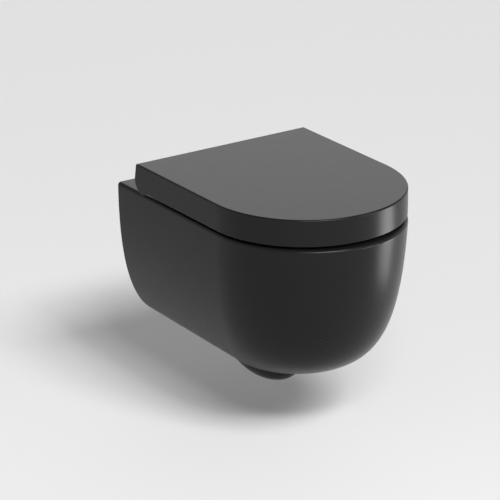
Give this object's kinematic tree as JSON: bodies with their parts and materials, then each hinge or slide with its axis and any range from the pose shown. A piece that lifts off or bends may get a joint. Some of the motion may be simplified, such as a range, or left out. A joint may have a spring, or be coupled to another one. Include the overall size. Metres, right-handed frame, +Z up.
{
  "type": "wall-hung toilet",
  "caption": "Wall-hung toilet pan in satin black ceramic with a D-shaped wrap-over soft-close lid and seat on lift-off hinges, rimless bowl, hidden trap and wall connections.",
  "frame": {"origin": "on the finished wall plane, midway between the two wall studs that carry the pan", "axes": "+Z up; +Y into the wall, so the pan's front points to -Y; +X to the right of someone who faces the wall"},
  "size_m": [0.365, 0.5113, 0.4033],
  "materials": {
    "glaze": "satin",
    "duroplast": "satin",
    "steel": "satin",
    "zinc": "satin",
    "rubber": "matte",
    "buffer": "matte",
    "pipe": "satin",
    "nylon": "satin"
  },
  "bodies": {
    "pan": {"pan_shell": "glaze", "pan_deck": "glaze", "back_wall": "glaze", "bowl": "glaze", "trapway": "glaze", "flush_channel": "glaze", "flush_pipe": "pipe", "flush_seal": "rubber", "flush_spreader": "nylon", "waste_connector": "pipe", "waste_seal": "rubber", "wall_stud_left": "zinc", "wall_stud_right": "zinc", "stud_sleeve_left": "nylon", "stud_sleeve_right": "nylon", "fixing_bracket_left": "zinc", "fixing_bracket_right": "zinc", "stud_washer_left": "zinc", "stud_washer_right": "zinc", "stud_nut_left": "zinc", "stud_nut_right": "zinc", "clamp_screw_left": "zinc", "clamp_screw_right": "zinc", "base_gasket_left": "rubber", "base_gasket_right": "rubber", "hinge_base_left": "steel", "hinge_base_right": "steel", "hinge_bolt_left": "steel", "hinge_bolt_right": "steel", "expansion_plug_left": "rubber", "expansion_plug_right": "rubber", "hinge_nut_left": "steel", "hinge_nut_right": "steel"},
    "hinge_carrier": {"hinge_block_left": "duroplast", "hinge_block_right": "duroplast", "hinge_pin_right": "steel"},
    "button_left": {"release_button_left": "steel"},
    "button_right": {"release_button_right": "steel"},
    "seat": {"seat_ring": "duroplast", "seat_buffer_front_left": "buffer", "seat_buffer_front_right": "buffer", "seat_buffer_rear_left": "buffer", "seat_buffer_rear_right": "buffer", "seat_bush_left": "nylon", "seat_bush_right": "nylon", "lid_damper": "steel", "seat_damper": "steel"},
    "lid": {"lid_shell": "duroplast", "lid_buffer_front_left": "buffer", "lid_buffer_front_right": "buffer", "lid_buffer_rear_left": "buffer", "lid_buffer_rear_right": "buffer", "hinge_pin_left": "steel"}
  },
  "joints": [
    {"name": "seat_release", "type": "slide", "parent": "pan", "child": "hinge_carrier", "axis": [0, 0, 1], "range_m": [0, 0.05]},
    {"name": "seat_hinge", "type": "hinge", "parent": "hinge_carrier", "child": "seat", "pos_m": [0, -0.0835, 0.104], "axis": [-1, 0, 0], "range_deg": [0, 95]},
    {"name": "lid_hinge", "type": "hinge", "parent": "seat", "child": "lid", "pos_m": [0, -0.0835, 0.104], "axis": [1, 0, 0], "range_deg": [-95, 0]},
    {"name": "release_button_left", "type": "slide", "parent": "hinge_carrier", "child": "button_left", "axis": [0, 1, 0], "range_m": [0, 0.002], "stiffness_N_per_m": 300, "springref_m": -0.003},
    {"name": "release_button_right", "type": "slide", "parent": "hinge_carrier", "child": "button_right", "axis": [0, 1, 0], "range_m": [0, 0.002], "stiffness_N_per_m": 300, "springref_m": -0.003}
  ]
}
